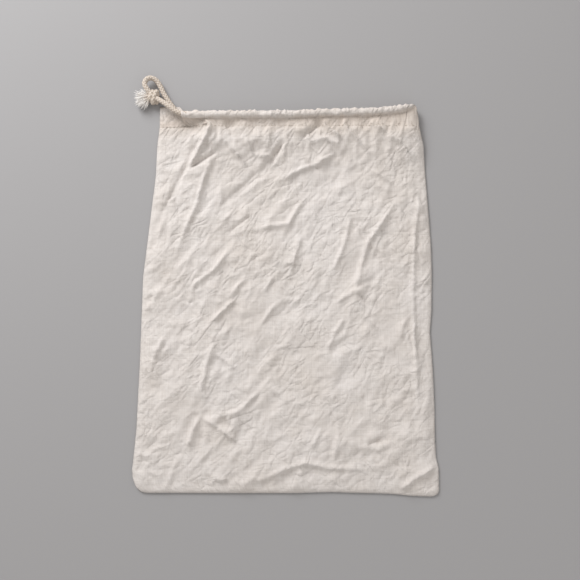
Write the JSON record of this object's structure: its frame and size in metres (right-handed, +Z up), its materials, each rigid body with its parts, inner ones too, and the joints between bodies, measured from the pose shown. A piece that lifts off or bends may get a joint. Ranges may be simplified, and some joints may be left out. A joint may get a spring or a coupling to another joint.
{
  "type": "drawstring shoe bag",
  "caption": "Flat cotton drawstring shoe bag with seamed edges, a cord casing along its gathered mouth, and a knotted drawcord with frayed ends.",
  "frame": {"origin": "middle of the bag's outline, on the surface that it lies on, measured without the loose cord", "axes": "+X across the mouth, away from the knotted cord; +Y from the bottom seam to the mouth; +Z up through the front panel"},
  "size_m": [0.2833, 0.3884, 0.0175],
  "materials": {
    "cotton_cloth": "unbleached plain-weave cotton, washed and creased",
    "seam_cloth": "raw cotton edge bound by overlock thread",
    "sewing_thread": "matte cotton thread",
    "cotton_cord": "matte twisted cotton cord",
    "frayed_cord": "loose cotton fibre"
  },
  "bodies": {
    "bag": {"front_panel": "cotton_cloth", "back_panel": "cotton_cloth", "front_casing": "cotton_cloth", "back_casing": "cotton_cloth", "left_side_seam": "seam_cloth", "right_side_seam": "seam_cloth", "bottom_seam": "seam_cloth", "front_casing_stitching": "sewing_thread", "back_casing_stitching": "sewing_thread", "cord_turn": "cotton_cord"},
    "drawcord": {"cord_front_run": "cotton_cord", "cord_back_run": "cotton_cord"},
    "cord_tail": {"cord_front_tail": "cotton_cord", "cord_back_tail": "cotton_cord", "cord_knot": "cotton_cord", "front_end_tuft": "frayed_cord", "back_end_tuft": "frayed_cord"}
  },
  "joints": [
    {"name": "drawcord_pull", "type": "slide", "parent": "bag", "child": "drawcord", "axis": [-1, 0, 0], "range_m": [0, 0.12]},
    {"name": "tail_swing", "type": "hinge", "parent": "drawcord", "child": "cord_tail", "pos_m": [-0.1015, 0.17485, 0], "axis": [0, 0, 1], "range_deg": [-40, 40]}
  ]
}
